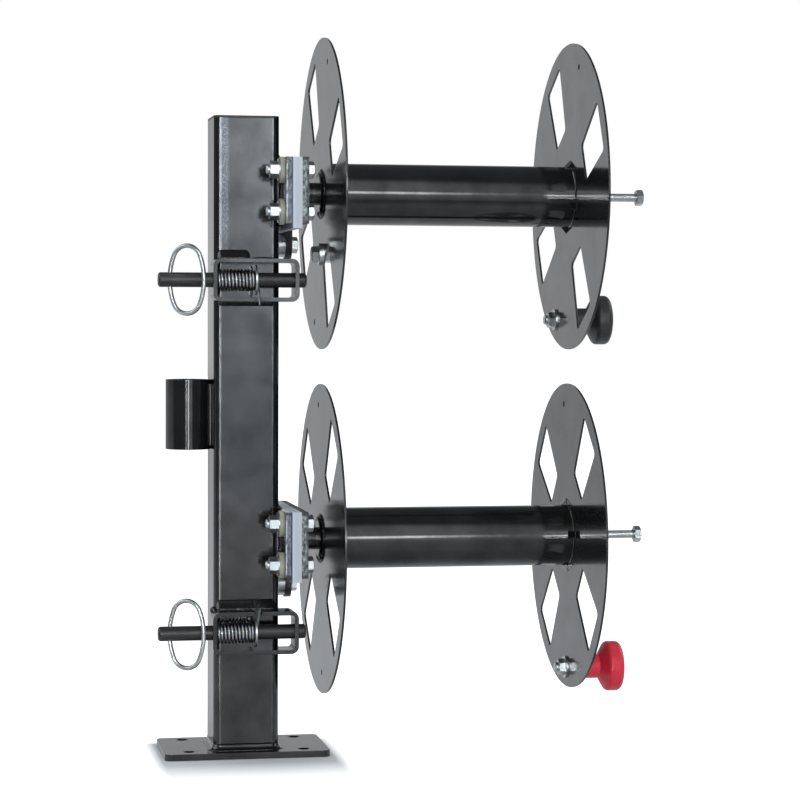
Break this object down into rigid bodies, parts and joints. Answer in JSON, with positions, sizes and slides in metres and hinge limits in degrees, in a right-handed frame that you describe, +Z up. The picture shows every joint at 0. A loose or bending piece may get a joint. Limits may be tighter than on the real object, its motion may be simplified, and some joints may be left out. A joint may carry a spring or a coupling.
{
  "type": "welding cable reel",
  "caption": "Bolt-down square mast with insulated cantilevered welding cable reels, each with a crank knob, a drag screw and a spring latch.",
  "frame": {"origin": "underside of the base plate, on the mast's centre line", "axes": "+Z up the mast, +X out along the reel spindles, -Y towards the latches"},
  "size_m": [0.4915, 0.3048, 0.7001],
  "materials": {
    "painted_steel_black": "gloss enamel",
    "flange_grey": "semi-gloss enamel",
    "latch_black": "gloss enamel, worn edges",
    "plate_dark": "rough mill scale, painted dark",
    "zinc": "bright zinc plate",
    "spindle_steel": "oiled turned steel",
    "insulator": "satin laminate sheet",
    "insulator_pale": "dull pale fibre",
    "cap_black": "satin",
    "knob_black": "satin moulded",
    "knob_red": "satin moulded",
    "pin_dark": "dull black oxide"
  },
  "bodies": {
    "stand": {"base_plate": "painted_steel_black", "mast": "painted_steel_black", "mast_cap": "cap_black", "receiver_tube": "painted_steel_black", "upper_backing_plate": "painted_steel_black", "upper_insulator_plate": "insulator", "upper_bearing_plate": "plate_dark", "upper_plate_bolts": "zinc", "upper_plate_nuts": "zinc", "upper_plate_washers": "zinc", "upper_insulating_washers": "insulator_pale", "upper_terminal_bolt": "zinc", "upper_terminal_nut": "zinc", "upper_spindle": "spindle_steel", "upper_spindle_clip": "spindle_steel", "upper_latch_bracket": "latch_black", "lower_backing_plate": "painted_steel_black", "lower_insulator_plate": "insulator", "lower_bearing_plate": "plate_dark", "lower_plate_bolts": "zinc", "lower_plate_nuts": "zinc", "lower_plate_washers": "zinc", "lower_insulating_washers": "insulator_pale", "lower_terminal_bolt": "zinc", "lower_terminal_nut": "zinc", "lower_spindle": "spindle_steel", "lower_spindle_clip": "spindle_steel", "lower_latch_bracket": "latch_black"},
    "upper_reel": {"upper_inner_hub": "flange_grey", "upper_outer_hub": "flange_grey", "upper_inner_flange": "flange_grey", "upper_outer_flange": "flange_grey", "upper_drum": "painted_steel_black", "upper_end_screw": "zinc", "upper_end_nut": "flange_grey", "upper_knob_bolt": "zinc", "upper_knob_nut": "zinc", "upper_cable_lug_bolt": "zinc", "upper_cable_lug_nut": "zinc"},
    "upper_knob": {"upper_crank_knob": "knob_black"},
    "upper_latch_slide": {"upper_latch_washer": "zinc", "upper_latch_spring": "zinc"},
    "upper_latch_pin": {"upper_latch_pin": "pin_dark", "upper_cross_pin": "zinc"},
    "upper_pull_ring": {"upper_pull_ring": "zinc"},
    "lower_reel": {"lower_inner_hub": "flange_grey", "lower_outer_hub": "flange_grey", "lower_inner_flange": "flange_grey", "lower_outer_flange": "flange_grey", "lower_drum": "painted_steel_black", "lower_end_screw": "zinc", "lower_end_nut": "flange_grey", "lower_knob_bolt": "zinc", "lower_knob_nut": "zinc"},
    "lower_knob": {"lower_crank_knob": "knob_red"},
    "lower_latch_slide": {"lower_latch_washer": "zinc", "lower_latch_spring": "zinc"},
    "lower_latch_pin": {"lower_latch_pin": "pin_dark", "lower_cross_pin": "zinc"},
    "lower_pull_ring": {"lower_pull_ring": "zinc"}
  },
  "joints": [
    {"name": "upper_reel_spin", "type": "hinge", "parent": "stand", "child": "upper_reel", "pos_m": [0.2, 0, 0.5477], "axis": [1, 0, 0], "continuous": true},
    {"name": "upper_knob_spin", "type": "hinge", "parent": "upper_reel", "child": "upper_knob", "pos_m": [0.355, 0.05025, 0.42456], "axis": [1, 0, 0], "continuous": true},
    {"name": "upper_latch_travel", "type": "slide", "parent": "stand", "child": "upper_latch_slide", "axis": [1, 0, 0], "range_m": [0, 0.0216], "deforming": ["upper_latch_spring"]},
    {"name": "upper_latch_turn", "type": "hinge", "parent": "upper_latch_slide", "child": "upper_latch_pin", "pos_m": [0, -0.0493, 0.4623], "axis": [-1, 0, 0], "range_deg": [-38, 100]},
    {"name": "upper_ring_swing", "type": "hinge", "parent": "upper_latch_pin", "child": "upper_pull_ring", "pos_m": [-0.0764, -0.0493, 0.4623], "axis": [0, 0, -1], "range_deg": [-9, 151]},
    {"name": "lower_reel_spin", "type": "hinge", "parent": "stand", "child": "lower_reel", "pos_m": [0.2, 0, 0.2087], "axis": [1, 0, 0], "continuous": true},
    {"name": "lower_knob_spin", "type": "hinge", "parent": "lower_reel", "child": "lower_knob", "pos_m": [0.355, -0.00116, 0.0757], "axis": [1, 0, 0], "continuous": true},
    {"name": "lower_latch_travel", "type": "slide", "parent": "stand", "child": "lower_latch_slide", "axis": [1, 0, 0], "range_m": [0, 0.0216], "deforming": ["lower_latch_spring"]},
    {"name": "lower_latch_turn", "type": "hinge", "parent": "lower_latch_slide", "child": "lower_latch_pin", "pos_m": [0, -0.0493, 0.1233], "axis": [1, 0, 0], "range_deg": [-38, 100]},
    {"name": "lower_ring_swing", "type": "hinge", "parent": "lower_latch_pin", "child": "lower_pull_ring", "pos_m": [-0.0764, -0.0493, 0.1233], "axis": [0, 0, -1], "range_deg": [-9, 151]}
  ]
}
